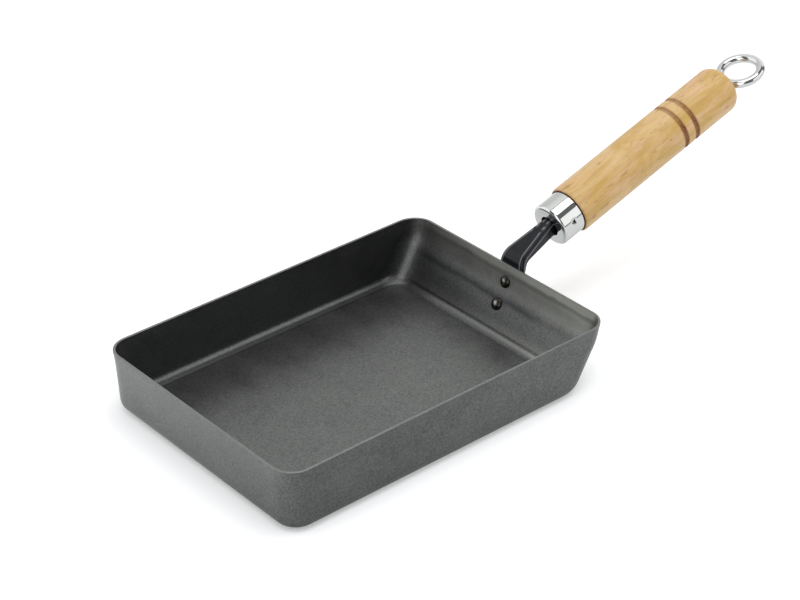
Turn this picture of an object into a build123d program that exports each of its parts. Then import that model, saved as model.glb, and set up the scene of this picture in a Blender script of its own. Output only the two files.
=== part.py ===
"""A rectangular rolled-omelette pan with a riveted tang and a turned wooden grip.

The tray is pressed from one sheet. A steel strip is riveted outside its sloping wall,
bends over above the rim and folds from a flat bar into a narrow channel. A nut closes the
channel's end. A long ring bolt runs through the grip into that nut, so the grip is
clamped between the nut and the ring, with a drawn ferrule over its front tenon.

The origin is the centre of the tray's underside. X points from the plain end wall to the
grip, Y across the tray and Z up. Lengths are millimetres and angles degrees.
"""

import os
from math import cos, radians, sin, tan

from build123d import *

# Tray, measured outside
rim_length = 180.0
rim_width = 132.0
tray_height = 31.0
sheet_thickness = 1.2
corner_radius = 11.0  # the four upright corners, seen from above
base_radius = 6.0  # where the walls turn into the base
rim_edge_chamfer = 0.25
side_wall_angle = 0.3  # wall angles are measured from upright
end_wall_angle = 2.2
flare_angle = 4.0  # the plain walls lean out further in a band below the rim
flare_height = 6.5
flare_radius = 60.0
handle_wall_angle = 31.0  # the wall under the handle slopes, less steeply at its top
handle_flare_angle = 11.0
handle_flare_height = 9.6
handle_bend_radius = 22.0

# Handle axis: it leaves its first point, the ferrule's front, and climbs
handle_reach = 24.4  # from the rim outwards to that point
handle_rise = 11.1  # from the rim up to that point
handle_elevation = 17.3

# Tang: a strip of one width, flat on the wall and folded where it is free
strip_thickness = 1.6
strip_half_width = 8.9  # half the strip's width, unfolded
plate_drop = 24.5  # from the rim down the wall to the plate's lower end
plate_corner_radius = 6.0
fold_start_gap = 0.5  # from the wall's bend up to where the strip begins to fold
knee_rise = 4.8  # above the rim, where the wall's line meets the neck's line
knee_radius = 7.5
neck_half_width = 2.9  # half the folded channel's width at the ferrule
neck_height = 4.5  # the channel's back above the handle axis, at its end
neck_reach = 4.5  # how far the channel's end lies behind the ferrule's front
first_fold = 0.3  # how much of each edge is folded already where the channel begins
fold_inner_radius = 0.3
wall_gap = 0.2  # between the tray's wall and the plate

# Rivets, at distances down the wall from the rim
rivet_drops = (8.5, 20.0)
rivet_shank_radius = 1.95
rivet_hole_gap = 0.05
rivet_head_radius = 3.1
rivet_head_height = 1.7
rivet_head_edge = 0.35  # the upright edge under the head's dome
rivet_tail_radius = 3.3
rivet_tail_height = 1.3
rivet_set_depth = 0.4  # how far a head is pressed round the curve of what it holds

# Ferrule: a drawn cap with a flat face and a round shoulder
ferrule_length = 12.4
ferrule_radius = 10.75
ferrule_thickness = 0.8
ferrule_shoulder_radius = 1.6
ferrule_hole_radius = 5.2
punch_setback = 7.0  # the punch mark's distance behind the ferrule's front
punch_angle = 77.0  # round the axis, from the top towards the -Y side
punch_radius = 1.25
dimple_radius = 2.1
dimple_depth = 0.3

# Grip: turned wood
grip_radius = 11.9
grip_end = 119.4  # from the ferrule's front to the grip's far end
grip_shoulder_gap = 0.15
grip_shoulder_radius = 1.4
grip_end_radius = 6.0
groove_places = (81.0, 88.4)  # from the ferrule's front
groove_width = 1.9
groove_floor_width = 0.8
groove_depth = 0.9
tenon_gap = 0.15
tenon_bevel = 0.8

# Tang nut and ring bolt
nut_size = 8.0  # so that its cut corners pass the ferrule's hole
nut_length = 6.0
nut_chamfer = 0.8
nut_pocket_gap = 0.4
shank_radius = 2.4
shank_gap = 0.4  # round the shank in the wood
thread_gap = 0.05
shank_start = 0.5  # the shank's tip behind the nut's front face
shank_chamfer = 0.6
ring_radius = 9.8  # to the middle of the ring's wire
ring_wire_radius = 2.2

overrun = 4.0  # how far a cutting shape passes the faces that it cuts

tip = Vector(rim_length / 2 + handle_reach, 0, tray_height + handle_rise)
along = Vector(cos(radians(handle_elevation)), 0, sin(radians(handle_elevation)))
handle_side = Plane(origin=tip, x_dir=along, z_dir=(0, -1, 0))  # local x along, y up
handle_axis = Axis(tip, along)


def handle_section(distance):
    """The plane square to the handle axis at a distance behind the ferrule's front."""
    return Plane(origin=tip + along * distance, x_dir=(0, 1, 0), z_dir=along)


def lean(run, angle):
    """How far a wall that leans by an angle moves sideways over a rise."""
    return run * tan(radians(angle))


def wall_points(rim_half, wall_angle, band_angle, band_height):
    """Points of one wall's outside in its section: base, bend and a point over the rim."""
    bend_half = rim_half - lean(band_height, band_angle)
    bend_level = tray_height - band_height
    return (
        (bend_half - lean(bend_level, wall_angle), 0),
        (bend_half, bend_level),
        (rim_half + lean(overrun, band_angle), tray_height + overrun),
    )


def mirrored(points):
    """The same wall on the other side, listed from the top down."""
    return [(-u, v) for u, v in reversed(points)]


side_wall = wall_points(rim_width / 2, side_wall_angle, flare_angle, flare_height)
end_wall = wall_points(rim_length / 2, end_wall_angle, flare_angle, flare_height)
handle_wall = wall_points(
    rim_length / 2, handle_wall_angle, handle_flare_angle, handle_flare_height
)


def tray_section(plane, wall, wall_radius, far_wall, far_radius, inset):
    """A section of the tray's block: two bent walls, the base and a lid over the rim."""
    with BuildSketch(plane) as section:
        with BuildLine():
            near = FilletPolyline(*wall, radius=wall_radius)
            far = FilletPolyline(*mirrored(far_wall), radius=far_radius)
            Line(near @ 1, far @ 0)
            Line(far @ 1, near @ 0)
        make_face()
        if inset:
            offset(amount=-inset, kind=Kind.INTERSECTION)
    return section.sketch


def tray_blank(inset):
    """A solid block with the tray's outside, or with its inside when inset by the sheet."""
    length_section = tray_section(
        Plane.XZ, handle_wall, handle_bend_radius, end_wall, flare_radius, inset
    )
    width_section = tray_section(
        Plane.YZ, side_wall, flare_radius, side_wall, flare_radius, inset
    )
    with BuildPart() as blank:
        extrude(length_section, amount=rim_width, both=True)
        extrude(width_section, amount=rim_length, both=True, mode=Mode.INTERSECT)
        uprights = edges().filter_by(Axis.X, reverse=True).filter_by(Axis.Y, reverse=True)
        fillet(uprights, corner_radius - inset)
        fillet(faces().sort_by(Axis.Z)[0].edges(), base_radius - inset)
    return blank.part


# The handle wall's outside as a line from above the rim down to the base
with BuildLine(Plane.XZ) as wall_line:
    FilletPolyline(*reversed(handle_wall), radius=handle_bend_radius)
wall_path = wall_line.wire()
rim_mark = overrun / cos(radians(handle_flare_angle))  # where that line passes the rim


def rivet_plane(drop):
    """A plane on the wall's outside, its z axis pointing through the wall into the tray."""
    place = wall_path.position_at(rim_mark + drop, position_mode=PositionMode.LENGTH)
    down = wall_path.tangent_at(rim_mark + drop, position_mode=PositionMode.LENGTH)
    return Plane(origin=place, x_dir=(0, 1, 0), z_dir=Vector(0, 1, 0).cross(down))


rivet_planes = [rivet_plane(drop) for drop in rivet_drops]
plate_back = wall_gap + strip_thickness  # from the wall to the plate's outer face


with BuildPart() as rivet_bores:
    for plane in rivet_planes:
        with BuildSketch(plane.offset(-plate_back - overrun)):
            Circle(rivet_shank_radius + rivet_hole_gap)
        extrude(amount=plate_back + sheet_thickness + 2 * overrun)

# Tray
tray_outside = tray_blank(0)
tray_inside = tray_blank(sheet_thickness)
with BuildPart() as pan_body:
    add(tray_outside)
    add(tray_inside, mode=Mode.SUBTRACT)
    split(bisect_by=Plane.XY.offset(tray_height), keep=Keep.BOTTOM)
    chamfer(faces().sort_by(Axis.Z)[-1].edges(), rim_edge_chamfer)
    add(rivet_bores.part, mode=Mode.SUBTRACT)

# Tang
bend_length = handle_bend_radius * tan(radians(handle_wall_angle - handle_flare_angle) / 2)
fold_start_drop = (
    handle_flare_height - (bend_length + fold_start_gap) * cos(radians(handle_flare_angle))
)
fold_start = Vector(
    rim_length / 2 - lean(fold_start_drop, handle_flare_angle) + wall_gap,
    0,
    tray_height - fold_start_drop,
)
knee = Vector(
    rim_length / 2 + lean(knee_rise, handle_flare_angle) + wall_gap,
    0,
    tray_height + knee_rise,
)
neck_end = handle_side.from_local_coords((neck_reach, neck_height, 0))
with BuildLine() as tang_line:
    FilletPolyline(fold_start, knee, neck_end, radius=knee_radius)
tang_path = tang_line.wire()

taper_end_share = 0.9  # share of the line over which the channel narrows
station_shares = (0, 0.065, 0.125, 0.18, 0.235, 0.29, 0.345, 0.45, 0.6, 0.8, 1)


def channel_section(share):
    """The strip's section at a share of the tang's line: its back on y = 0, edges below."""
    narrowing = min(share / taper_end_share, 1)
    first_half_width = strip_half_width - first_fold
    half = first_half_width + (neck_half_width - first_half_width) * narrowing
    depth = strip_half_width + strip_thickness - half
    inner = half - strip_thickness
    inner_bend = min(fold_inner_radius, (depth - strip_thickness) / 2)
    outer_bend = inner_bend + strip_thickness
    place = Plane(origin=tang_path @ share, x_dir=(0, 1, 0), z_dir=tang_path % share)
    with BuildSketch(place) as section:
        with BuildLine():
            FilletPolyline(
                (-half, -depth),
                (-half, 0),
                (half, 0),
                (half, -depth),
                (inner, -depth),
                (inner, -strip_thickness),
                (-inner, -strip_thickness),
                (-inner, -depth),
                radius=(0, outer_bend, outer_bend, 0, 0, inner_bend, inner_bend, 0),
                close=True,
            )
        make_face()
    return section.sketch


with BuildPart() as handle_tang:
    with BuildSketch(Plane.XZ):
        with BuildLine():
            plate_end = wall_path.position_at(
                rim_mark + plate_drop, position_mode=PositionMode.LENGTH
            )
            FilletPolyline(
                (fold_start.X, fold_start.Z),
                (handle_wall[1][0] + wall_gap, handle_wall[1][1]),
                (plate_end.X + wall_gap, plate_end.Z),
                radius=handle_bend_radius,
            )
            offset(amount=strip_thickness, side=Side.LEFT)
        make_face()
    extrude(amount=strip_half_width, both=True)
    lower_corners = edges().filter_by(Axis.Y, reverse=True).sort_by(Axis.Z)[:2]
    fillet(lower_corners, plate_corner_radius)
    loft([channel_section(share) for share in station_shares], ruled=True)
    split(bisect_by=handle_section(neck_reach), keep=Keep.BOTTOM)
    add(rivet_bores.part, mode=Mode.SUBTRACT)


# Rivets
def dome_radius(half_width, height):
    """The radius of a ball whose cap has this half width and height."""
    return (half_width**2 + height**2) / (2 * height)


def rivet_blank(plane):
    """A domed head in the tray, a shank, and a flat tail outside the plate."""
    head_seat = sheet_thickness - rivet_set_depth
    tail_seat = rivet_set_depth - plate_back
    with BuildPart() as blank:
        with BuildSketch(Plane(origin=plane.origin, x_dir=plane.x_dir, z_dir=-plane.y_dir)):
            with BuildLine():
                cap = RadiusArc(
                    (rivet_head_radius, sheet_thickness + rivet_head_edge),
                    (0, sheet_thickness + rivet_head_height),
                    -dome_radius(rivet_head_radius, rivet_head_height - rivet_head_edge),
                )
                Polyline(
                    cap @ 1,
                    (0, -plate_back - rivet_tail_height),
                    (rivet_tail_radius, -plate_back - rivet_tail_height),
                    (rivet_tail_radius, tail_seat),
                    (rivet_shank_radius, tail_seat),
                    (rivet_shank_radius, head_seat),
                    (rivet_head_radius, head_seat),
                    cap @ 0,
                )
            make_face()
        revolve(axis=Axis(plane.origin, plane.z_dir))
        tail_end = edges().sort_by(Axis(plane.origin, plane.z_dir))[0]
        chamfer(tail_end, rivet_tail_height / 2)
        add(pan_body.part, mode=Mode.SUBTRACT)
        add(handle_tang.part, mode=Mode.SUBTRACT)
    return blank


upper_rivet = rivet_blank(rivet_planes[0])
lower_rivet = rivet_blank(rivet_planes[1])

# Ferrule, turned round the handle axis
ferrule_bore = ferrule_radius - ferrule_thickness
shoulder_inside = ferrule_shoulder_radius - ferrule_thickness
with BuildPart() as ferrule:
    with BuildSketch(handle_side):
        with BuildLine():
            FilletPolyline(
                (0, ferrule_hole_radius),
                (0, ferrule_radius),
                (ferrule_length, ferrule_radius),
                (ferrule_length, ferrule_bore),
                (ferrule_thickness, ferrule_bore),
                (ferrule_thickness, ferrule_hole_radius),
                radius=(0, ferrule_shoulder_radius, 0, 0, shoulder_inside, 0),
                close=True,
            )
        make_face()
    revolve(axis=handle_axis)
    outward = handle_side.y_dir.rotate(Axis((0, 0, 0), along), punch_angle)
    punch_place = tip + along * punch_setback + outward * ferrule_radius
    punch = Plane(origin=punch_place, x_dir=along, z_dir=outward)
    with Locations(punch.offset(dome_radius(dimple_radius, dimple_depth) - dimple_depth)):
        Sphere(dome_radius(dimple_radius, dimple_depth), mode=Mode.SUBTRACT)
    with BuildSketch(punch):
        RegularPolygon(punch_radius, 3)
    extrude(amount=-overrun, mode=Mode.SUBTRACT)

# Tang nut, on the channel's end
with BuildPart() as tang_nut:
    with BuildSketch(handle_section(neck_reach)):
        Rectangle(nut_size, nut_size)
        chamfer(vertices(), nut_chamfer)
        Circle(shank_radius + thread_gap, mode=Mode.SUBTRACT)
    extrude(amount=nut_length)

# Grip: turned wood with a front tenon in the ferrule, a pocket for the nut and a bore
tenon_start = ferrule_thickness + tenon_gap
tenon_radius = ferrule_bore - tenon_gap
grip_start = ferrule_length + grip_shoulder_gap
pocket_radius = nut_size / 2 * 2**0.5 - nut_chamfer / 2**0.5 + nut_pocket_gap
pocket_end = neck_reach + nut_length
with BuildPart() as wooden_grip:
    with BuildSketch(handle_side):
        with BuildLine():
            FilletPolyline(
                (tenon_start, pocket_radius),
                (tenon_start, tenon_radius - tenon_bevel),
                (tenon_start + tenon_bevel, tenon_radius),
                (grip_start, tenon_radius),
                (grip_start, grip_radius),
                (grip_end, grip_radius),
                (grip_end, shank_radius + shank_gap),
                (pocket_end, shank_radius + shank_gap),
                (pocket_end, pocket_radius),
                radius=(0, 0, 0, 0, grip_shoulder_radius, grip_end_radius, 0, 0, 0),
                close=True,
            )
        make_face()
        with Locations(*[(place, grip_radius) for place in groove_places]):
            Polygon(
                (groove_width / 2, overrun),
                (-groove_width / 2, overrun),
                (-groove_width / 2, 0),
                (-groove_floor_width / 2, -groove_depth),
                (groove_floor_width / 2, -groove_depth),
                (groove_width / 2, 0),
                align=None,
                mode=Mode.SUBTRACT,
            )
    revolve(axis=handle_axis)

# Ring bolt: a closed ring seated on the grip's end, and its shank
ring_centre = grip_end + ring_wire_radius + ring_radius
with BuildPart() as ring_bolt:
    with BuildSketch(handle_side):
        with Locations((ring_centre - ring_radius, 0)):
            Circle(ring_wire_radius)
    ring_place = handle_side.from_local_coords((ring_centre, 0, 0))
    revolve(axis=Axis(ring_place, handle_side.y_dir))
    with BuildSketch(handle_section(neck_reach + shank_start)):
        Circle(shank_radius)
    extrude(amount=ring_centre - ring_radius - neck_reach - shank_start)
    chamfer(edges().sort_by(handle_axis)[0], shank_chamfer)

pieces = {
    "pan_body": pan_body,
    "handle_tang": handle_tang,
    "upper_rivet": upper_rivet,
    "lower_rivet": lower_rivet,
    "ferrule": ferrule,
    "tang_nut": tang_nut,
    "wooden_grip": wooden_grip,
    "ring_bolt": ring_bolt,
}
os.makedirs("parts", exist_ok=True)
for name, piece in pieces.items():
    piece.part.label = name
    export_step(piece.part, f"parts/{name}.step")
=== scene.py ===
# %% [markdown]
# A rolled-omelette pan, dressed for its picture
#
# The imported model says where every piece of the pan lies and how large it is. This notebook
# gives the pan its looks. Each piece that shows is made again as a fine, smooth surface on
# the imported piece's own sizes, because glossy metal shows every flat facet, and each gets a
# material of its own. Everything is in metres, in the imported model's frame: X runs from the
# plain end wall to the grip, Y across the tray and Z up from the tray's underside.

import bpy
import numpy as np
from mathutils import Matrix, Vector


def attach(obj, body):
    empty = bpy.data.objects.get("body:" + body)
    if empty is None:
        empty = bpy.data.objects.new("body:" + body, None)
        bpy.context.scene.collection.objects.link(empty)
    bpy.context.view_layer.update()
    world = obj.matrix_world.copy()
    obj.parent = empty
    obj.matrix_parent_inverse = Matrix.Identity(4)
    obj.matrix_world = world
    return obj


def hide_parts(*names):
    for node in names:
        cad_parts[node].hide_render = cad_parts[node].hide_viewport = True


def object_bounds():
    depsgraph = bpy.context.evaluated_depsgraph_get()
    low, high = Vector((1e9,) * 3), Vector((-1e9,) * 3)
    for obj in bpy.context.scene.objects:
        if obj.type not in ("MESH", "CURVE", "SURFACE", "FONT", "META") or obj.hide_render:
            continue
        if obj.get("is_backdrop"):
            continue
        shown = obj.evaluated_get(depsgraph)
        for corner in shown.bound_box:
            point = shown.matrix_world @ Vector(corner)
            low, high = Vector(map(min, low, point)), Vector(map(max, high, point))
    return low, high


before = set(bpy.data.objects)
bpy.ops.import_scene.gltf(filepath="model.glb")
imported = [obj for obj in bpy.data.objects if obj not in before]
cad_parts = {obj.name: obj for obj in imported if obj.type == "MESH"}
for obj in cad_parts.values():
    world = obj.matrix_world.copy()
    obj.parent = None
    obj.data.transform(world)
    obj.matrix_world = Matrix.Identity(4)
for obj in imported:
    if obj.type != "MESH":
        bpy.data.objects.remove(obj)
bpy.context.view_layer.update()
mm = 0.001
print("nodes", sorted(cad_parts))

# %% [markdown]
# The camera stands where the photographer's did. Its place was worked out from the rim's four
# sides and the upright edges: it looks down at about thirty degrees onto one corner of the
# tray, from a little over a metre, through a long lens. The lens is given by the number of
# pixels that one metre covers at a distance of one metre, which needs the picture's width.


# %% Camera
def in_scene(name, data):
    """A new object in the scene that holds the data."""
    made = bpy.data.objects.new(name, data)
    bpy.context.scene.collection.objects.link(made)
    return made


image_width = 800
focal_pixels = 2288.66
sensor_width = 36.0
camera_azimuth = np.radians(-39.444)
camera_elevation = np.radians(31.303)
camera_roll = np.radians(-1.096)
camera_distance = 1086.46 * mm
camera_target = np.array([64.374, 49.052, 0.0]) * mm

level_back = np.array([np.sin(camera_azimuth), -np.cos(camera_azimuth), 0.0])
back = level_back * np.cos(camera_elevation) + np.array([0, 0, np.sin(camera_elevation)])
level_right = np.cross([0, 0, 1], back) / np.cos(camera_elevation)
level_up = np.cross(back, level_right)
right = np.cos(camera_roll) * level_right + np.sin(camera_roll) * level_up
up = np.cross(back, right)

camera_data = bpy.data.cameras.new("camera")
camera_data.sensor_width = sensor_width
camera_data.lens = focal_pixels / image_width * sensor_width
camera = in_scene("camera", camera_data)
turn = Matrix(np.column_stack([right, up, back]).tolist())
place = camera_target + back * camera_distance
camera.matrix_world = Matrix.Translation(place.tolist()) @ turn.to_4x4()
bpy.context.scene.camera = camera
print("lens", round(camera_data.lens, 2), "mm, camera at", place.round(3))

# %% [markdown]
# Every new piece is a skin over rings of points. A ring is a closed loop, such as the outline
# of the tray at one height or a circle round the handle, and the skin joins each ring to the
# next with four-sided faces. A Python loop over the points would be slow and hard to read, so
# numpy works out whole arrays of points and of faces at once.


# %% Skin over rings
def signed_volume(mesh):
    """A sixth of the sum of each triangle's triple product: below zero if it is inside out."""
    mesh.calc_loop_triangles()
    corners = np.empty(len(mesh.loop_triangles) * 3, np.int32)
    mesh.loop_triangles.foreach_get("vertices", corners)
    points = np.empty(len(mesh.vertices) * 3)
    mesh.vertices.foreach_get("co", points)
    a, b, c = points.reshape(-1, 3)[corners.reshape(-1, 3)].transpose(1, 0, 2)
    return np.einsum("ij,ij->i", a, np.cross(b, c)).sum() / 6


def skin(name, rings, ends, sharp_angle=np.radians(40)):
    """A closed mesh over rings of points, shaped (rings, points round, 3).

    ends is "joined" where the last ring meets the first, "capped" where a flat face closes
    each end, or "pointed" where the end rings run together in their middle.
    """
    count, around = rings.shape[:2]
    index = np.arange(count * around).reshape(count, around)
    following = np.roll(index, -1, axis=0)
    if ends != "joined":
        index, following = index[:-1], following[:-1]
    faces = np.stack(
        [index, np.roll(index, -1, axis=1), np.roll(following, -1, axis=1), following], axis=-1
    )
    points = rings.reshape(-1, 3)
    faces = faces.reshape(-1, 4).tolist()
    first, last = np.arange(around), np.arange(around) + (count - 1) * around
    if ends == "capped":
        faces += [first[::-1].tolist(), last.tolist()]
    if ends == "pointed":
        points = np.vstack([points, rings[0].mean(axis=0), rings[-1].mean(axis=0)])
        for ring, pole in ((first[::-1], len(points) - 2), (last, len(points) - 1)):
            fan = np.stack([ring, np.roll(ring, -1), np.full(around, pole)], axis=-1)
            faces += fan.tolist()
    mesh = bpy.data.meshes.new(name)
    mesh.from_pydata(points.tolist(), [], faces)
    if signed_volume(mesh) < 0:
        mesh.flip_normals()
    mesh.shade_smooth()
    mesh.set_sharp_from_angle(angle=sharp_angle)
    size = np.ptp(points, axis=0) / mm
    print(name, len(faces), "faces,", size.round(1), "mm,", ends)
    return in_scene(name, mesh)


def mark(piece, name, values):
    """Stores one number for each point of a piece, for its material to read.

    The poles of a pointed skin are its last points, and take the last number.
    """
    attribute = piece.data.attributes.new(name, "FLOAT", "POINT")
    padded = np.full(len(piece.data.vertices), values.flat[-1], np.float32)
    padded[: values.size] = values.flat
    attribute.data.foreach_set("value", padded)
    print(piece.name, "is marked", name, "at", np.count_nonzero(padded), "of its points")


# %% [markdown]
# The tray is pressed from one sheet of steel. Its walls differ: three stand nearly upright
# and flare out in a narrow band under the rim, and the one under the handle slopes and
# stands up more steeply near the rim. A box with bevelled edges can't follow that, so the
# tray is worked out height by height. At each height every wall has its reach, the distance
# of its face from the middle, and four reaches with four rounded corners make a ring.

# %% Sizes of the tray
rim_half_length = 90.0 * mm
rim_half_width = 66.0 * mm
tray_height = 31.0 * mm
sheet = 1.2 * mm
corner_radius = 11.0 * mm
base_radius = 6.0 * mm
rim_round = 0.3 * mm
flare_lean = np.radians(4.0)
flare_band = 6.5 * mm
flare_radius = 60.0 * mm
handle_lean = np.radians(31.0)
handle_top_lean = np.radians(11.0)
handle_band = 9.6 * mm
handle_bend_radius = 22.0 * mm

side_wall = (rim_half_width, np.radians(0.3), flare_lean, flare_band, flare_radius)
end_wall = (rim_half_length, np.radians(2.2), flare_lean, flare_band, flare_radius)
handle_wall = (rim_half_length, handle_lean, handle_top_lean, handle_band, handle_bend_radius)
print("the rim is", 2 * rim_half_length, "by", 2 * rim_half_width, "m")

# %% [markdown]
# A wall's section is two straight stretches with a round bend between them, over a round
# turn into the base. The inside face is the same section, moved inwards by the sheet's
# thickness, so the straight stretches shift sideways and the radii shrink or grow with it.


# %% Reach of a wall
def wall_reach(z, wall, inset):
    """How far a wall's face lies from the middle at each height z, and its corner's reach.

    Each straight stretch is foot + z times the tangent of its lean. The bend is a circle that
    touches both, and the turn into the base is a circle that touches the lower stretch and
    the floor. The corner's reach is its radius over the cosine of the lean, less what the
    turn into the base takes away at that height.
    """
    rim_half, lean, top_lean, band, bend = wall
    bend_level = tray_height - band
    bend_half = rim_half - band * np.tan(top_lean)
    foot = bend_half - bend_level * np.tan(lean) - inset / np.cos(lean)
    top_foot = bend_half - bend_level * np.tan(top_lean) - inset / np.cos(top_lean)
    meet = (top_foot - foot) / (np.tan(lean) - np.tan(top_lean))
    side = np.sign(lean - top_lean)
    radius = bend - side * inset
    run = radius * np.tan(abs(lean - top_lean) / 2)
    start, end = meet - run * np.cos(lean), meet + run * np.cos(top_lean)
    centre = foot + start * np.tan(lean) - side * radius * np.cos(lean)
    centre_level = start + side * radius * np.sin(lean)
    arc = centre + side * np.sqrt(np.maximum(radius**2 - (z - centre_level) ** 2, 0))
    straight = np.where(z < start, foot + z * np.tan(lean), top_foot + z * np.tan(top_lean))
    face = np.where((z > start) & (z < end), arc, straight)
    turn_radius = base_radius - inset
    turn_level = inset + turn_radius
    turn_centre = foot + turn_level * np.tan(lean) - turn_radius / np.cos(lean)
    turn_arc = np.sqrt(np.maximum(turn_radius**2 - (turn_level - z) ** 2, 0))
    in_turn = z < inset + turn_radius * (1 - np.sin(lean))
    reach = np.where(in_turn, turn_centre + turn_arc, face)
    slope = np.gradient(face, z)
    corner = (corner_radius - inset) * np.sqrt(1 + slope**2) - (face - reach)
    return reach, corner


sample_heights = np.linspace(0, tray_height, 5)
sample_reach = wall_reach(sample_heights, handle_wall, 0.0)[0]
print("the handle's wall reaches", (sample_reach / mm).round(1), "mm, from foot to rim")

# %% [markdown]
# At one height, each upright corner is a quarter of an ellipse, because the two walls that
# meet there lean differently. Straight sides join the corners. Points lie closer together
# in the corners and in the turn into the base, so that the highlights come out smooth.

# %% Rings of the tray
corner_share = np.linspace(0, 1, 20)
long_share = np.linspace(0, 1, 46)[1:-1]
short_share = np.linspace(0, 1, 34)[1:-1]


def tray_rings(z, inset):
    """The tray's outline at each height: four quarter ellipses joined by straight sides.

    A corner's point is its wall's reach less its corner's reach times one minus the cosine of
    the turn along X, and the same with the sine along Y.
    """
    side_reach, side_corner = wall_reach(z, side_wall, inset)
    corners = []
    for x_sign, y_sign in ((1, 1), (-1, 1), (-1, -1), (1, -1)):
        reach, corner = wall_reach(z, handle_wall if x_sign > 0 else end_wall, inset)
        angle = corner_share * np.pi / 2
        if x_sign * y_sign < 0:
            angle = angle[::-1]
        x = x_sign * (reach[:, None] - corner[:, None] * (1 - np.cos(angle)))
        y = y_sign * (side_reach[:, None] - side_corner[:, None] * (1 - np.sin(angle)))
        corners.append(np.stack([x, y], axis=-1))
    parts = []
    for number, share in enumerate((long_share, short_share, long_share, short_share)):
        leave = corners[number][:, -1:]
        arrive = corners[(number + 1) % 4][:, :1]
        parts += [corners[number], leave + (arrive - leave) * share[None, :, None]]
    outline = np.concatenate(parts, axis=1)
    height = np.broadcast_to(z[:, None, None], outline.shape[:2] + (1,))
    return np.concatenate([outline, height], axis=-1)


def tray_levels(inset):
    """Heights that lie close together in the turn into the base, and evenly above it."""
    turn = inset + (base_radius - inset) * (1 - np.cos(np.linspace(0, np.pi / 2, 16)))
    walls = np.linspace(base_radius, tray_height - rim_round, 44)[1:]
    return np.concatenate([turn, walls])


# %% [markdown]
# The whole sheet is one closed skin. It starts at a point in the middle of the underside,
# spreads out over the base, climbs the outside, rounds the cut edge of the rim, goes down the
# inside and ends in a point in the middle of the cooking floor. Modelling one face and
# giving it thickness with a modifier would be shorter, but here the inside face has its own
# exact radii, which the eye reads in the highlights along the base.

# %% Pressed tray
base_shares = np.array([0.1, 0.4, 0.7, 0.9, 0.97])[:, None, None]


def base_rings(edge_ring):
    """The base's flat part: its edge ring at each share of its distance from the middle."""
    return edge_ring * np.array([1, 1, 0]) * base_shares + edge_ring * np.array([0, 0, 1])


outside = tray_rings(tray_levels(0.0), 0.0)
inside = tray_rings(tray_levels(sheet), sheet)
over = np.linspace(0, np.pi, 11)[1:-1, None, None]
rim = outside[-1] * (1 + np.cos(over)) / 2 + inside[-1] * (1 - np.cos(over)) / 2
rim = rim + np.sqrt(np.sin(over)) * rim_round * np.array([0, 0, 1])
inside = inside[::-1]
tray_rows = [base_rings(outside[0]), outside, rim, inside, base_rings(inside[-1])[::-1]]
tray = skin("pressed_tray", np.concatenate(tray_rows), ends="pointed")

# %% [markdown]
# The steel isn't alike all over, so marks are stored on the tray's points: one on the cut edge
# of the rim, where it is worn; two on the inside of the wall under the handle, one for a band
# partly burnished by the press and partly painted highlight, brightest towards one end, and one
# for painted shade; one for painted shade on the inside of the long wall at the back; and a
# faint one for painted shade on the outside of the long wall in front. A wall's marks fade out
# in its rounded corners, over a reach from its face.

# %% Marks on the tray
inside_reach = 6.0 * mm
outside_reach = 9.0 * mm
short_of_wall = inside[..., :2].max(axis=1, keepdims=True) - inside[..., :2]
handle_side, far_wall_painted_shade = np.clip(1 - short_of_wall / inside_reach, 0, 1).transpose(2, 0, 1)
short_of_near = outside[..., 1] - outside[..., 1].min(axis=1, keepdims=True)
near_wall_painted_shade = np.clip(1 - short_of_near / outside_reach, 0, 1)
# How strong the painted highlight and the painted shade are along each wall.
glow_places = np.array([-62, -54, -46, -30, -12, 0, 30, 55]) * mm
glow_along = np.interp(inside[..., 1], glow_places, [0, 1.9, 1.9, 1.2, 1.08, 0.85, 0.70, 0.25])
shade_places = np.array([-50, -31, -20, 0, 50, 60]) * mm
shade_along = np.interp(inside[..., 1], shade_places, [0.3, 0.55, 1.1, 1.15, 1.1, 0.1])
near_places = np.array([-60, 0, 60]) * mm
near_along = np.interp(outside[..., 0], near_places, [0.24, 0.16, 0.03])
for name, face, values in (
    ("worn", rim, np.ones(rim.shape[:2])),
    ("handle_burnish_and_painted_light", inside, handle_side * glow_along),
    ("handle_painted_shade", inside, handle_side * shade_along),
    ("far_wall_painted_shade", inside, far_wall_painted_shade),
    ("near_wall_painted_shade", outside, near_wall_painted_shade * near_along),
):
    rows = [values if part is face else np.zeros(part.shape[:2]) for part in tray_rows]
    mark(tray, name, np.concatenate(rows))

# %% [markdown]
# The handle's pieces are all turned about one slanting axis, which starts at the ferrule's
# front and climbs away from the tray. A turned piece is a profile, a list of radius and
# distance along the axis, carried round in a full circle.

# %% Handle axis
handle_rise = np.radians(17.3)
tip = np.array([114.4, 0.0, 42.1]) * mm
along = np.array([np.cos(handle_rise), 0.0, np.sin(handle_rise)])
above = np.array([-np.sin(handle_rise), 0.0, np.cos(handle_rise)])
sideways = np.array([0.0, 1.0, 0.0])


def turned(radius, distance, angle, origin=tip, axis=along, zero=above, side=-sideways):
    """Points round an axis: origin + axis times distance + radius times a turning direction.

    The angle starts at the zero direction and turns towards side, so for the handle it
    starts on top and turns towards the camera.
    """
    direction = np.cos(angle)[..., None] * zero + np.sin(angle)[..., None] * side
    return origin + distance[..., None] * axis + radius[..., None] * direction


def arc(centre, radius, start, end, steps):
    """Points on a circle in a profile: centre + radius times (sine, cosine) of the angle.

    A point is (radius from the axis, distance along it), and angles are in degrees.
    """
    angle = np.radians(np.linspace(start, end, steps))
    return np.array(centre) + radius * np.stack([np.sin(angle), np.cos(angle)], axis=-1)


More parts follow.
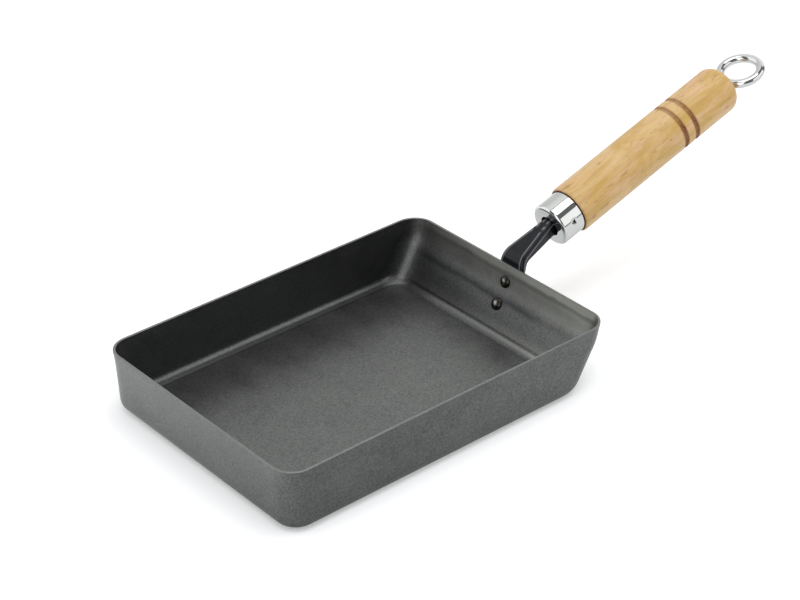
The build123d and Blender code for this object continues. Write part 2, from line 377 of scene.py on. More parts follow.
def resampled(profile, spacing):
    """The same line with points no further apart than the spacing, its corners kept."""
    place = np.concatenate([[0], np.cumsum(np.hypot(*np.diff(profile, axis=0).T))])
    where = [place]
    for start, end in zip(place, place[1:]):
        where.append(np.linspace(start, end, int(np.ceil((end - start) / spacing)) + 1))
    where = np.unique(np.concatenate(where))
    return np.stack([np.interp(where, place, column) for column in profile.T], axis=-1)


full_turn = np.linspace(0, 2 * np.pi, 160, endpoint=False)
print("the axis climbs at", round(float(np.degrees(handle_rise)), 1), "degrees from", tip)

# %% [markdown]
# The grip is one turned piece of pale wood. Its outline is straight but for a small round
# shoulder behind the ferrule, two narrow grooves near the far end, which were burnt in with a
# wire as the wood spun, and a well rounded end. In front, a thinner tenon goes into the
# ferrule, a pocket holds the nut and a bore takes the ring's shank. The rows of points lie
# closest together where the grooves are.

# %% Turned grip
grip_radius = 11.9 * mm
grip_front = 12.55 * mm
grip_end = 119.4 * mm
shoulder_radius = 1.4 * mm
end_radius = 6.0 * mm
tenon_radius = 9.8 * mm
tenon_front = 0.95 * mm
pocket_radius = 5.49 * mm
pocket_end = 10.5 * mm
bore_radius = 2.8 * mm
groove_centres = np.array([81.0, 88.4]) * mm
groove_width = 1.9 * mm
groove_depth = 0.9 * mm
groove_lip = 0.12 * mm
lip_spread = 0.25
groove_zone = np.array([77.0, 92.4]) * mm


def groove_dip(distance):
    """A round-bottomed dip: the square root of one minus the offset squared, lips softened."""
    offset = (distance[:, None] - groove_centres) / (groove_width / 2)
    dip = groove_depth * np.sqrt(np.maximum(1 - offset**2, 0))
    lip = groove_lip * np.exp(-(((np.abs(offset) - 1) / lip_spread) ** 2))
    return (dip + lip * (np.abs(offset) > 1)).sum(axis=1)


stretch = np.concatenate(
    [
        np.linspace(grip_front + shoulder_radius, groove_zone[0], 63)[:-1],
        np.linspace(groove_zone[0], groove_zone[1], 140)[:-1],
        np.linspace(groove_zone[1], grip_end - end_radius, 22)[:-1],
    ]
)
barrel = np.stack([grip_radius - groove_dip(stretch), stretch], axis=-1)
shoulder_middle = (grip_radius - shoulder_radius, grip_front + shoulder_radius)
end_middle = (grip_radius - end_radius, grip_end - end_radius)
inner_corners = [
    (bore_radius, grip_end),
    (bore_radius, pocket_end),
    (pocket_radius, pocket_end),
    (pocket_radius, tenon_front),
    (tenon_radius, tenon_front),
    (tenon_radius, grip_front),
]
grip_profile = np.concatenate(
    [
        resampled(np.array(inner_corners), 6 * mm),
        arc(shoulder_middle, shoulder_radius, 180, 90, 8),
        barrel[1:],
        arc(end_middle, end_radius, 90, 0, 22),
    ]
)
grip_radii, grip_places = grip_profile.T[:, :, None]
grip = skin("turned_grip", turned(grip_radii, grip_places, full_turn), ends="joined")

# %% [markdown]
# The wire scorched the grooves. The grip's mark is strongest in them and fades out over their
# lips, and it is made stronger below than on top as painted shade. On the front, inside the
# ferrule's edge, it passes one, and there the wood's material turns black for the dark seam
# between wood and metal.

# %% Burnt grooves
burn_reach = 2.0
burn_fade = 0.9
painted_shade_share = 0.4
painted_shade_turn = 0.3
ferrule_seam = 11.55 * mm
seam_fade = 0.4 * mm
from_groove = np.abs(grip_places - groove_centres).min(axis=1, keepdims=True)
from_groove = from_groove / (groove_width / 2)
# Painted shade: the grooves' scorch is made darker below than on top.
painted_shade_below = 1 - painted_shade_share * np.cos(full_turn + painted_shade_turn)
burn_and_shade = np.clip((burn_reach - from_groove) / burn_fade, 0, 1) * (grip_radii > tenon_radius)
burn_and_shade = np.minimum(burn_and_shade * painted_shade_below, 1)
in_front = grip_places < grip_front + shoulder_radius
burn_and_shade = burn_and_shade + np.clip((ferrule_seam - grip_radii) / seam_fade, 0, 2) * in_front
mark(grip, "burn_and_shade", burn_and_shade)

# %% [markdown]
# One prick of a punch stakes the ferrule to the wood. It left a small three-cornered pit in
# a shallow round dimple, on the side towards the camera. The pit is worked out as a depth for
# each place on the ferrule's side, so that it can be pressed into the surface itself.

# %% Punch mark
ferrule_radius = 10.75 * mm
punch_distance = 7.0 * mm
punch_angle = np.radians(77.0)
punch_radius = 1.6 * mm
dimple_radius = 2.4 * mm
dimple_depth = 0.32 * mm
pit_depth = 0.42 * mm
pit_wall = 0.12
spared_place = np.array([-0.15, 0.30])
spared_radius = 0.17


def punch_press(distance, angle):
    """How deep the punch pressed in, and how dark the three-cornered pit is.

    The dimple is a cosine bowl. The pit's edge is where the largest of three directions'
    distances reaches half the pit's radius, which draws a triangle. Its plating is whole in
    a small circle at the middle of one side.
    """
    u = (distance - punch_distance) / punch_radius
    v = (angle - punch_angle) * ferrule_radius / punch_radius
    bearings = np.radians([116, -4, -124])
    edge = np.max([u * np.cos(b) + v * np.sin(b) for b in bearings], axis=0)
    pit = np.clip((0.5 - edge) / pit_wall + 0.5, 0, 1)
    from_middle = np.hypot(u, v) * punch_radius / dimple_radius
    bowl = np.where(from_middle < 1, (1 + np.cos(np.pi * np.minimum(from_middle, 1))) / 2, 0)
    from_spared = np.hypot(u - spared_place[0], v - spared_place[1])
    whole = np.clip(1.5 - from_spared / spared_radius, 0, 1)
    return dimple_depth * bowl + pit_depth * pit, pit * (1 - whole)


deepest = punch_press(punch_distance, punch_angle)[0]
print("the punch pressed", round(float(deepest / mm), 2), "mm deep")

# %% [markdown]
# The ferrule is a drawn and plated cap: a flat face with a round hole for the tang, a round
# shoulder and a straight skirt over the wood. The punch mark is pressed in along the radius,
# so the points of every ring crowd together beside it. The mark called pit tells the material
# where the punch broke through the plating, and there the pit is painted nearly black, as
# shade in the hole.

# %% Drawn ferrule
ferrule_length = 12.4 * mm
ferrule_wall = 0.8 * mm
shoulder = 1.6 * mm
hole_radius = 5.2 * mm
hole_round = 0.25 * mm
edge_round = 0.2 * mm
face_radii = np.array([6.0, 8.9]) * mm
skirt_places = np.linspace(2.4 * mm, 11.4 * mm, 80)
punch_zone = 0.22
coarse_from = 0.25

shoulder_centre = (ferrule_radius - shoulder, shoulder)
ferrule_bore = ferrule_radius - ferrule_wall
hole_centre = (hole_radius + hole_round, hole_round)
ferrule_profile = np.concatenate(
    [
        arc(hole_centre, hole_round, 270, 180, 7),
        resampled(np.stack([face_radii, 0 * face_radii], axis=-1), 0.6 * mm),
        arc(shoulder_centre, shoulder, 180, 90, 24),
        np.stack([0 * skirt_places + ferrule_radius, skirt_places], axis=-1),
        arc((ferrule_radius - edge_round, ferrule_length - edge_round), edge_round, 90, 0, 5),
        np.array([(ferrule_bore, ferrule_length), (ferrule_bore, shoulder)]),
        arc((ferrule_bore - ferrule_wall, shoulder), ferrule_wall, 90, 180, 7),
        np.array([(hole_radius + hole_round, ferrule_wall)]),
        arc((hole_radius + hole_round, ferrule_wall - hole_round), hole_round, 360, 270, 7),
    ]
)
near_punch = np.linspace(-punch_zone, punch_zone, 56) + punch_angle
coarse = np.linspace(punch_angle + coarse_from, punch_angle - coarse_from + 2 * np.pi, 150)
ferrule_turn = np.concatenate([near_punch, coarse])
radii, places = ferrule_profile.T[:, :, None]
press, dark = punch_press(places, ferrule_turn)
outer = (radii > ferrule_radius - 0.01 * mm) & (places < ferrule_length)
ferrule_rings = turned(radii - press * outer, places, ferrule_turn)
ferrule = skin("drawn_ferrule", ferrule_rings, ends="joined", sharp_angle=np.radians(55))
# The pit's bottom is painted nearly black, as shade in the hole.
mark(ferrule, "pit", dark * outer)

# %% [markdown]
# The hanging ring is the head of the long bolt that holds the grip. It is a circle of wire
# swept round a larger circle. The ring's plane holds the handle's axis, so the ring lies flat
# in line with the handle. The shank is a plain rod, hidden in the grip.

# %% Ring and shank
ring_radius = 9.8 * mm
wire_radius = 2.2 * mm
ring_place = grip_end + wire_radius + ring_radius
shank_radius = 2.4 * mm
shank_start = 5.0 * mm
shank_bevel = 0.6 * mm


def torus(major, minor, major_steps=128, minor_steps=40):
    """A ring of wire: middle + (major + minor times cosine) outwards + minor times sine up."""
    around = np.linspace(0, 2 * np.pi, major_steps, endpoint=False)[:, None]
    section = np.linspace(0, 2 * np.pi, minor_steps, endpoint=False)[None]
    outwards = np.cos(around)[..., None] * along + np.sin(around)[..., None] * sideways
    reach = (major + minor * np.cos(section))[..., None]
    middle = tip + along * ring_place
    return middle + reach * outwards + (minor * np.sin(section))[..., None] * above


ring = skin("hanging_ring", torus(ring_radius, wire_radius), ends="joined")
shank_ends = np.array([shank_start, shank_start + shank_bevel, grip_end + wire_radius])
shank_radii = np.array([shank_radius - shank_bevel, shank_radius, shank_radius])
shank_turn = np.linspace(0, 2 * np.pi, 48, endpoint=False)
shank_rings = turned(shank_radii[:, None], shank_ends[:, None], shank_turn)
shank = skin("ring_shank", shank_rings, ends="capped")

# %% [markdown]
# The tang is one steel strip of steady width. It lies flat on the outside of the sloping
# wall, bends over above the rim, and its long edges are folded down along two lines that run
# together towards the handle. That turns the flat strip into a narrow channel, stiff enough
# to carry the pan. It is worked out as a folder would make it: first the line that the
# strip's middle follows, then the folds beside it.

# %% Line of the tang
strip = 1.6 * mm
strip_half_width = 8.9 * mm
folded_half_width = 8.3 * mm
plate_drop = 24.5 * mm
plate_corner = 6.0 * mm
wall_gap = 0.2 * mm
knee_rise = 4.8 * mm
knee_radius = 7.5 * mm
neck_height = 4.5 * mm
neck_end = 3.7 * mm
fold_start_gap = 0.5 * mm


def bent_line(corners, radii, step=0.02 * mm):
    """Points and headings along straight runs with round corners, in the XZ plane.

    The heading is steady on a run and turns evenly along each arc. The points are the
    running sum of the heading's sine and cosine over small steps.
    """
    runs = np.diff(corners, axis=0)
    lengths = np.hypot(*runs.T)
    headings = np.arctan2(runs[:, 1], runs[:, 0])
    turns = np.diff(headings)
    cuts = np.array([0, *(radii * np.tan(np.abs(turns) / 2)), 0])
    straights = lengths - cuts[:-1] - cuts[1:]
    arcs = radii * np.abs(turns)
    pieces = np.zeros(len(straights) + len(arcs))
    pieces[0::2], pieces[1::2] = straights, arcs
    marks = np.concatenate([[0], np.cumsum(pieces)])
    distance = np.arange(0, marks[-1], step)
    heading = np.interp(distance, marks, np.repeat(headings, 2))
    moves = step * np.stack([np.cos(heading), np.sin(heading)], axis=-1)
    points = corners[0] + np.cumsum(moves, axis=0) - moves
    return distance, points, heading, marks


bend_x = rim_half_length - handle_band * np.tan(handle_top_lean)
bend_z = tray_height - handle_band
below_bend = plate_drop - handle_band / np.cos(handle_top_lean)
foot_x = bend_x - below_bend * np.sin(handle_lean)
foot_z = bend_z - below_bend * np.cos(handle_lean)
knee = (rim_half_length + knee_rise * np.tan(handle_top_lean), tray_height + knee_rise)
neck = tip + along * neck_end + above * neck_height
corners = [(foot_x, foot_z), (bend_x, bend_z), knee, (neck[0] - wall_gap, neck[2])]
corners = np.array(corners) + np.array([wall_gap, 0.0])
tang_line = bent_line(corners, np.array([handle_bend_radius, knee_radius]))
line_distance, line_points, line_heading, line_marks = tang_line


def on_line(distance):
    """The line's point and heading at a distance along it, straight between its own points."""
    columns = [np.interp(distance, line_distance, column) for column in line_points.T]
    return np.stack(columns, axis=-1), np.interp(distance, line_distance, line_heading)


print("the strip's middle line is", round(line_marks[-1] / mm, 1), "mm long")

# %% [markdown]
# Along the strip, each row of points has a half width and the distance of its two fold lines
# from the middle. The plate's lower corners are round. The fold lines start on the strip's
# edges, where they fold nothing, come in over a short lead and then run together.

# %% Fold lines
fold_middle_radius = 1.1 * mm
first_channel_half = 8.6 * mm
neck_half_width = 2.9 * mm
taper_end_share = 0.9
fold_start = line_marks[2] + fold_start_gap
fold_lead = 5.0 * mm

end_rows = plate_corner * (1 - np.cos(np.linspace(0.12, np.pi / 2, 12)))
rows = np.concatenate([[0.0], end_rows, np.linspace(plate_corner, line_marks[-1], 112)[1:]])
share = np.clip((rows - fold_start) / (line_marks[-1] - fold_start), 0, 1)
lead = np.clip((rows - fold_start) / fold_lead + 1, 0, 1)
narrowing = np.minimum(share / taper_end_share, 1)
channel_half = first_channel_half + (neck_half_width - first_channel_half) * narrowing
fold_line = channel_half - fold_middle_radius - strip / 2
fold_line = np.where(lead < 1, strip_half_width + (fold_line - strip_half_width) * lead, fold_line)
half = strip_half_width + (folded_half_width - strip_half_width) * lead
inset = np.maximum(plate_corner - rows, 0)
half = half - (plate_corner - np.sqrt(plate_corner**2 - inset**2))
print(len(rows), "rows, whose fold lines come in to", (fold_line[-1] / mm).round(2), "mm")

# %% [markdown]
# Across the strip, a point is told by its distance from the middle. Up to the fold line it
# lies on the flat back, then it goes round an arc, and past a quarter turn it runs straight
# down the flange. Where the fold line lies on the strip's edge, the strip is simply flat, so
# the plate and the channel are one surface with no seam between them. The points of a row go
# once round the strip: along its face, round one edge, back and round the other. A mark is one
# along the lines where a fold starts and ends, on the outside, for thin lines of painted
# highlight.

# %% Folded strip
strip_edge = 0.3 * mm
crease_width = 0.16 * mm


def strip_section(across, lift, fold_line):
    """Where a point of the strip goes: sideways and up, from the middle of the back.

    The turn is the distance past the fold line over the fold's radius, from zero to a
    quarter turn. lift is the distance from the middle of the sheet along its own normal.
    """
    side, distance = np.sign(across), np.abs(across)
    past = np.maximum(distance - fold_line, 0)
    bend = np.minimum(past / fold_middle_radius, np.pi / 2)
    flange = past - bend * fold_middle_radius
    out = np.minimum(distance, fold_line) + fold_middle_radius * np.sin(bend) + lift * np.sin(bend)
    down = fold_middle_radius * (1 - np.cos(bend)) + flange - lift * np.cos(bend)
    return side * out, -down - strip / 2


from_middle = np.concatenate(
    [np.linspace(0, 0.3, 5)[:-1], np.linspace(0.3, 0.85, 24)[:-1], np.linspace(0.85, 1, 6)]
)
back_side = np.concatenate([-from_middle[:0:-1], from_middle])
rounding = np.linspace(0, np.pi, 9)[1:-1]
level, edge = 0 * back_side, 0 * rounding
loop_share = np.concatenate([back_side, edge + 1, back_side[::-1], edge - 1])
loop_edge = np.concatenate([level, np.sin(rounding), level, -np.sin(rounding)])
loop_lift = np.concatenate([level + 1, np.cos(rounding), level - 1, -np.cos(rounding)])
across = (half - strip_edge)[:, None] * loop_share + strip_edge * loop_edge
out, down = strip_section(across, loop_lift * strip / 2, fold_line[:, None])
middle, heading = on_line(rows)
strip_x = middle[:, :1] - np.sin(heading)[:, None] * down
strip_z = middle[:, 1:] + np.cos(heading)[:, None] * down
tang = skin("folded_tang", np.stack([strip_x, out, strip_z], axis=-1), ends="capped")

past_fold = np.abs(across) - fold_line[:, None]
fold_turn = fold_middle_radius * np.pi / 2
# Thin lines of painted highlight along the fold creases.
painted_crease_highlights = [np.exp(-(((past_fold - at) / crease_width) ** 2)) for at in (0.0, fold_turn)]
mark(tang, "crease_painted_highlight", sum(painted_crease_highlights) * (loop_lift > 0) * (share > 0)[:, None])

# %% [markdown]
# Two rivets hold the strip. Each has a smooth dome in the tray, a shank through both sheets
# and a flatter tail outside. Head and tail are set a little way into the sheets, so that no
# gap shows where the wall curves. A rivet's axis is square to the wall at its own distance
# below the rim. The rivets' mark is one in the middle of a head and a quarter at its edge: it
# makes the rivet bare metal, lighter in the middle, partly rubbed and partly painted highlight.

# %% Rivets
rivet_drops = np.array([8.5, 20.0]) * mm
shank_half = 1.95 * mm
head_half = 3.1 * mm
head_height = 1.7 * mm
head_edge = 0.35 * mm
tail_half = 3.3 * mm
tail_height = 1.25 * mm
tail_round = 0.6 * mm
set_depth = 0.4 * mm
worn_half = 1.9 * mm
worn_fade = 1.2 * mm
plate_back = wall_gap + strip
tail_end = plate_back + tail_height
dome_rise = head_height - head_edge
dome_radius = (head_half**2 + dome_rise**2) / (2 * dome_rise)
dome_turn = np.degrees(np.arcsin(head_half / dome_radius))
rivet_profile = np.concatenate(
    [
        np.array([(0.3 * mm, -tail_end)]),
        arc((tail_half - tail_round, tail_round - tail_end), tail_round, 180, 90, 7),
        np.array([(tail_half, set_depth - plate_back), (shank_half, set_depth - plate_back)]),
        np.array([(shank_half, sheet - set_depth), (head_half, sheet - set_depth)]),
        arc((0, sheet + head_height - dome_radius), dome_radius, 0.94 * dome_turn, 2, 16),
    ]
)
rivet_turn = np.linspace(0, 2 * np.pi, 64, endpoint=False)
radii, places = rivet_profile.T[:, :, None]
# Bare metal on the whole rivet, lighter towards the middle of the head: partly rubbed, partly
# painted highlight.
rivet_wear_and_highlight = 0.25 + 0.75 * np.clip((worn_half - radii) / worn_fade, 0, 1) + 0 * rivet_turn

bend_turn = handle_lean - handle_top_lean
cut_short = handle_bend_radius * (2 * np.tan(bend_turn / 2) - bend_turn)
rivets = []
for name, drop in zip(("upper_rivet_dome", "lower_rivet_dome"), rivet_drops):
    place = plate_drop - drop
    share = (place - line_marks[1]) / (line_marks[2] - line_marks[1])
    place = place - cut_short * np.clip(share, 0, 1)
    centre, tilt = on_line(place)
    inwards = np.array([-np.sin(tilt), 0.0, np.cos(tilt)])
    upwards = np.array([np.cos(tilt), 0.0, np.sin(tilt)])
    centre = np.array([centre[0] - wall_gap, 0.0, centre[1]])
    rings = turned(radii, places, rivet_turn, centre, inwards, upwards, sideways)
    rivets.append(skin(name, rings, ends="pointed"))
    mark(rivets[-1], "rivet_wear_and_highlight", rivet_wear_and_highlight)
    print(name, "stands at", (centre / mm).round(2), "mm")

# %% [markdown]
# A shader is arithmetic on textures, and it reads best as arithmetic. A signal wraps one
# output of a node, and Python's operators on it add Math nodes, so 1 - mask works. A finish
# holds one material. Its method add makes any node from its type, its settings and the values
# or signals of its sockets, and its other methods are short names for the common nodes.


# %% Signals and finishes
class Signal:
    """One output socket of a node, on which Python's operators add Math nodes."""

    def __init__(self, finish, socket):
        self.finish, self.socket = finish, socket

    def maths(self, operation, *values, clamp=False):
        settings = {"operation": operation, "use_clamp": clamp}
        return self.finish.add("Math", settings, dict(enumerate(values)))

    def __add__(self, other):
        return self.maths("ADD", self, other)

    def __sub__(self, other):
        return self.maths("SUBTRACT", self, other)

    def __rsub__(self, other):
        return self.maths("SUBTRACT", other, self)

    def __mul__(self, other):
        return self.maths("MULTIPLY", self, other)

    def between(self, low, high):
        """Zero below low, one above high and a straight climb between them."""
        return self.maths("MULTIPLY", self - low, 1 / (high - low), clamp=True)

    __radd__, __rmul__ = __add__, __mul__


class Finish:
    """A material and the ways to add nodes to it."""

    def __init__(self, name):
        self.material = bpy.data.materials.new(name)
        self.material.use_nodes = True
        self.tree = self.material.node_tree
        self.tree.nodes.clear()

    def add(self, kind, settings=None, values=None, output=0):
        """A node of a type: its settings are set first, then its sockets."""
        node = self.tree.nodes.new("ShaderNode" + kind)
        for key, value in (settings or {}).items():
            setattr(node, key, value)
        for key, value in (values or {}).items():
            if isinstance(value, Signal):
                self.tree.links.new(value.socket, node.inputs[key])
            else:
                node.inputs[key].default_value = value
        return Signal(self, node.outputs[output]) if node.outputs else node

    def spot(self):
        """The place of the shaded point, in metres."""
        return self.add("TexCoord", output="Object")

    def stretched(self, place, x, y=1.0, z=1.0):
        """A place with scaled axes: a pattern is drawn out along an axis scaled below one."""
        return self.add("Mapping", {}, {"Vector": place, "Scale": (x, y, z)})

    def stored(self, name):
        """A number that was marked on the piece's points."""
        return self.add("Attribute", {"attribute_name": name}, output="Fac")

    def mix(self, factor, low, high):
        """A colour that goes from low to high with the factor."""
        return self.add("Mix", {"data_type": "RGBA"}, {0: factor, 6: low, 7: high}, output=2)

    def noise(self, place, scale, detail=3.0, roughness=0.5, distortion=0.0):
        """Soft noise from about 0.3 to 0.7, as fine as the scale per metre says."""
        values = {"Vector": place, "Scale": scale, "Detail": detail}
        values.update({"Roughness": roughness, "Distortion": distortion})
        return self.add("TexNoise", {}, values)

    def bump(self, height, distance):
        """A normal tilted by a height signal, whose full step is a distance in metres."""
        return self.add("Bump", {}, {"Height": height, "Distance": distance, "Strength": 1.0})

    def surface(self, **values):
        """The Principled shader that shows, with its sockets by name, _ for a space."""
        named = {key.replace("_", " "): value for key, value in values.items()}
        shader = self.add("BsdfPrincipled", {}, named)
        self.add("OutputMaterial", {}, {"Surface": shader})
        return self.material


kinds = [name for name in dir(bpy.types) if name.startswith("ShaderNode")]
print("a finish can add", len(kinds), "kinds of node")

# %% [markdown]
# The tray's steel was heated until it turned a dull grey-green, and has a satin skin with a
# fine grain. It mirrors its surroundings in a blurred way: the outside walls take the pale
# table, and the far inside wall, which sees only the dark floor of the tray, is nearly black.
# So it is a metal with a dark colour and not a grey paint. The grain is a speckle about half a
# millimetre across, light and dark, which also roughens the surface very slightly. Larger
# clouds and smears vary the colour and the gloss, and the cut rim is worn a little brighter.
#
# The heights and the marks say where painted light and shade lie on the inside. Up the wall
# under the handle come painted shade over its lower part, a fine painted dark line and a
# painted highlight at its foot, a soft painted dark line halfway, a band that grows brighter
# upwards, a painted dark dip and a painted bright collar under the rim. That band is partly
# burnished by the press and partly painted highlight. The clouds shift these heights a little,
# so that the bands are never quite straight. The wall at the back gets painted shade, which
# leaves only a narrow bright turn into the floor, and the outside of the wall in front gets a
# little painted shade, more towards the plain end.


# %% Tray steel
def band(level, start, full, fade, end):
    """One from full to fade, and zero below start and above end, in millimetres."""
    return level.between(start * mm, full * mm) * (1 - level.between(fade * mm, end * mm))


steel = Finish("tray_steel")
spot = steel.spot()
grain = steel.noise(spot, 1150.0, 2.0, 0.7)
cloud = steel.noise(spot, 55.0, 4.0, 0.65)
smear = steel.noise(steel.stretched(spot, 1.0, 0.35, 1.6), 75.0, 4.0, 0.6, 0.4)
shade = (grain - 0.5) * 1.9 + (cloud - 0.5) * 0.6 + (smear - 0.5) * 0.5 + 0.5
tone = steel.mix(shade.between(0.05, 0.95), (0.086, 0.090, 0.087, 1), (0.184, 0.190, 0.184, 1))

level = steel.add("SeparateXYZ", {}, {0: spot}, output="Z")
height = level + (cloud - 0.5) * (3.0 * mm)
# Painted highlight and painted shade, in bands by height on the wall under the handle and on the
# back wall.
foot_glow = band(level, 1.5, 2.1, 2.7, 3.1)
foot_line = band(level, 2.9, 3.3, 3.8, 4.4)
foot = band(level, 3.8, 4.4, 5.0, 8.0)
halfway_line = band(height, 13.6, 15.4, 15.6, 17.2)
upper = height.between(15.6 * mm, 17.2 * mm)
climb = height.between(17.0 * mm, 26.0 * mm)
dip = band(height, 25.2, 26.4, 27.2, 28.4)
collar = height.between(27.6 * mm, 29.0 * mm)
glowing = climb * 0.56 - dip * 0.22 + collar * 0.24 + foot_glow * 0.30 + foot * 0.12
burnish_and_painted_light = (steel.stored("handle_burnish_and_painted_light") * glowing).between(0, 1)

# Painted shade for the wall under the handle, and below, for the back wall and its turn into the
# floor.
painted_shade_bands = (1 - climb) * 0.26 + upper * (1 - climb) * 0.12
painted_shade_bands = painted_shade_bands + halfway_line * 0.38 + foot_line * 0.20 - foot * 0.12
back_wall = level.between(4.1 * mm, 4.9 * mm)
floor_turn = band(level, 1.2, 1.35, 2.3, 3.0)
shaded = steel.stored("handle_painted_shade") * painted_shade_bands
shaded = shaded + steel.stored("far_wall_painted_shade") * (back_wall * 0.57 + floor_turn * 0.72)
shaded = shaded + steel.stored("near_wall_painted_shade")

# The burnished band with its painted highlight lightens the colour, and the painted shade darkens
# it to nearly black.
tone = steel.mix(burnish_and_painted_light, tone, (0.440, 0.450, 0.410, 1))
tone = steel.mix(shaded, tone, (0.011, 0.010, 0.015, 1))
tray_steel = steel.surface(
    Base_Color=steel.mix(steel.stored("worn") * 0.4, tone, (0.300, 0.305, 0.295, 1)),
    Metallic=0.86 - burnish_and_painted_light * 0.46,
    Roughness=0.36 + (cloud - 0.5) * 0.16 + (smear - 0.5) * 0.2 + burnish_and_painted_light * 0.08,
    Normal=steel.bump(grain, 0.03 * mm),
)
print("tray steel has", len(steel.tree.nodes), "nodes")

# %% [markdown]
# The tang has a smooth coat of glossy black enamel, with a faint orange peel, and a shade
# bluer than neutral. Thin grey lines of painted highlight run along the creases beside the
# folds. The rivets share the material, but they are bare: where their mark is above zero it
# turns to dark metal, lighter in the middle of the head, partly rubbed and partly painted
# highlight.

# %% Black enamel
enamel = Finish("black_enamel")
spot = enamel.spot()
peel = enamel.noise(spot, 420.0, 2.0, 0.5)
dust = enamel.noise(spot, 1800.0, 2.0, 0.6)
bluish, bluer = (0.0035, 0.0042, 0.0065, 1), (0.0075, 0.0085, 0.0120, 1)
coated = enamel.mix(peel.between(0.3, 0.7), bluish, bluer)
# Painted highlight: thin grey lines along the fold creases.
coated = enamel.mix(enamel.stored("crease_painted_highlight") * 0.9, coated, (0.250, 0.260, 0.280, 1))
rivet_wear_and_highlight_mark = enamel.stored("rivet_wear_and_highlight")
# The rivet head's middle is lighter: partly rubbed metal, partly painted highlight.
rubbed_and_highlight = (rivet_wear_and_highlight_mark + (dust - 0.5) * 0.5).between(0.3, 1.0)
bare = enamel.mix(rubbed_and_highlight, (0.034, 0.032, 0.027, 1), (0.300, 0.290, 0.260, 1))
rivet = rivet_wear_and_highlight_mark.between(0.0, 0.2)
black_enamel = enamel.surface(
    Base_Color=enamel.mix(rivet, coated, bare),
    Metallic=rivet,
    Roughness=0.26 + (dust - 0.5) * 0.14,
    Specular_IOR_Level=0.25,
    Normal=enamel.bump(peel, 0.02 * mm),
)
print("black enamel has", len(enamel.tree.nodes), "nodes")

# %% [markdown]
# The ferrule and the ring are bright plated. Plating is all reflection: what shows are the
# white walls of the studio and the dark gaps between them. A few hairline scratches and a
# faint haze keep it from looking like a mirror ball. The punch mark's pit is painted nearly
# black, as shade in the hole where the punch broke through the plating.

# %% Bright plating
plating = Finish("bright_plating")
spot = plating.spot()
haze = plating.noise(spot, 160.0, 3.0, 0.6)
scratch = plating.noise(plating.stretched(spot, 0.12), 2400.0, 2.0, 0.7)
# Where the punch broke the plating, the pit's bottom is painted nearly black, as shade in the
# hole.
bottom = plating.stored("pit")
bright_plating = plating.surface(
    Base_Color=plating.mix(bottom, (0.62, 0.63, 0.62, 1), (0.012, 0.011, 0.010, 1)),
    Metallic=1.0,
    Roughness=0.045 + (haze - 0.5) * 0.05 + scratch.between(0.62, 0.75) * 0.08 + bottom * 0.4,
    Normal=plating.bump(scratch, 0.0015 * mm),
)
print("bright plating has", len(plating.tree.nodes), "nodes")

# %% [markdown]
# The nut inside the ferrule is plain zinc-plated steel. It hardly shows, but it keeps its
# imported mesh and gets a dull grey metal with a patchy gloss.

# %% Plain steel
zinc = Finish("plain_steel")
patch = zinc.noise(zinc.spot(), 900.0, 3.0, 0.6)
plain_steel = zinc.surface(
    Base_Color=zinc.mix(patch.between(0.3, 0.7), (0.20, 0.20, 0.20, 1), (0.34, 0.34, 0.35, 1)),
    Metallic=1.0,
    Roughness=0.45 + (patch - 0.5) * 0.3,
)
print("plain steel has", len(zinc.tree.nodes), "nodes")

# %% [markdown]
# The grip is pale, close-grained wood under clear varnish. Its coordinates are first turned
# so that their X lies along the handle. Each noise is then squeezed along the grain by its
# own amount: broad yellow patches only a little, paler blushes more, and streaks and fibres
# many times, so that they turn into lines. Short dark flecks and pores come last, and the
# grip's mark scorches the grooves, darker below as painted shade, and blackens the front,
# inside the ferrule.

# %% Varnished wood
wood = Finish("varnished_wood")
to_handle = {
    "Vector": wood.spot(),
    "Rotation": (0.0, float(handle_rise), 0.0),
    "Location": (-float(tip @ along), 0.0, -float(tip @ above)),
}
lengthwise = wood.add("Mapping", {}, to_handle)
patches = wood.noise(wood.stretched(lengthwise, 0.35), 90.0, 4.0, 0.65, 0.8)
blush = wood.noise(wood.stretched(lengthwise, 0.26), 130.0, 4.0, 0.65, 0.6)
streak = wood.noise(wood.stretched(lengthwise, 0.09), 430.0, 3.0, 0.6, 0.3)
fibre = wood.noise(wood.stretched(lengthwise, 0.05), 1900.0, 3.0, 0.7)
flecks = wood.noise(wood.stretched(lengthwise, 0.22), 720.0, 2.0, 0.5)
pores = wood.noise(wood.stretched(lengthwise, 0.12), 1700.0, 1.0, 0.5)
pale = wood.mix(patches.between(0.40, 0.58), (0.660, 0.440, 0.190, 1), (0.540, 0.335, 0.072, 1))
for pattern, low, high, share, colour in (
    (blush, 0.50, 0.64, 0.70, (0.680, 0.430, 0.260, 1)),
    (streak, 0.50, 0.72, 0.55, (0.470, 0.262, 0.090, 1)),
    (fibre, 0.35, 0.75, 0.30, (0.480, 0.290, 0.125, 1)),
    (flecks, 0.63, 0.72, 0.60, (0.300, 0.150, 0.055, 1)),
    (pores, 0.66, 0.72, 0.35, (0.300, 0.150, 0.060, 1)),
):
    pale = wood.mix(pattern.between(low, high) * share, pale, colour)
burn_and_shade_mark = wood.stored("burn_and_shade")
